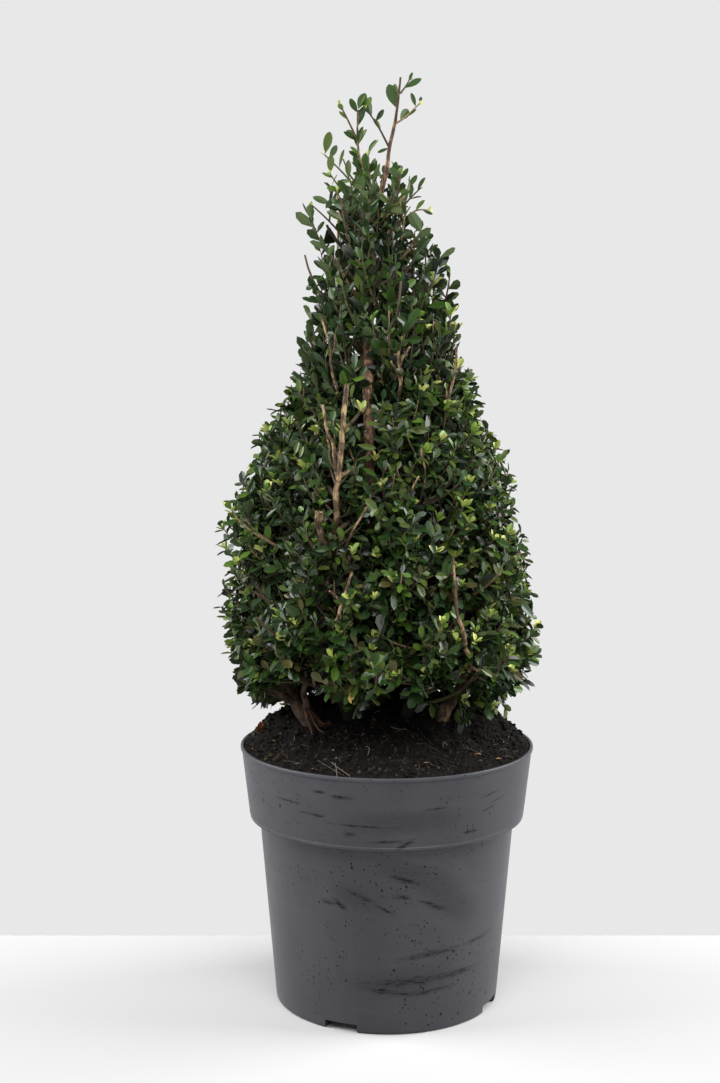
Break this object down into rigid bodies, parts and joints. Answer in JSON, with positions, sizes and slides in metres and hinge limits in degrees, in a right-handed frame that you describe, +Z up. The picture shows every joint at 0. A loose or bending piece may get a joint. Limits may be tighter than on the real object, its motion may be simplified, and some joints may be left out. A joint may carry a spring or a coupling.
{
  "type": "potted japanese holly cone",
  "caption": "Small-leaved evergreen shrub clipped to a bell-shaped cone, with bare stems at its foot and open shoots on top, in a round plastic nursery pot.",
  "frame": {"origin": "on the pot's flat underside, at the pot's axis", "axes": "+Z up along the pot's axis, -Y towards the front of the plant, +X to its right as seen from the front"},
  "size_m": [0.304, 0.3079, 0.8464],
  "materials": {
    "pot_plastic": "matte dark grey moulded plastic with dust and splashes",
    "potting_mix": "dark moist peat with fibres",
    "bark": "grey-brown finely cracked bark",
    "foliage": "small dark green leaves with a soft gloss"
  },
  "bodies": {
    "root": {"pot": "pot_plastic", "soil": "potting_mix", "trunk": "bark", "stem_right": "bark", "stem_back_right": "bark", "stem_back_left": "bark", "stem_left": "bark", "stem_front_left": "bark", "stem_front_right": "bark", "bough_upper_back_right": "bark", "bough_upper_back_left": "bark", "bough_upper_front": "bark", "bough_top_left": "bark", "bough_top_right": "bark", "foliage_low_right": "foliage", "foliage_low_back_right": "foliage", "foliage_low_back_left": "foliage", "foliage_low_left": "foliage", "foliage_low_front_left": "foliage", "foliage_low_front_right": "foliage", "foliage_upper_back_right": "foliage", "foliage_upper_back_left": "foliage", "foliage_upper_front": "foliage", "foliage_top_left": "foliage", "foliage_top_right": "foliage", "foliage_top_leader": "foliage"}
  },
  "joints": []
}
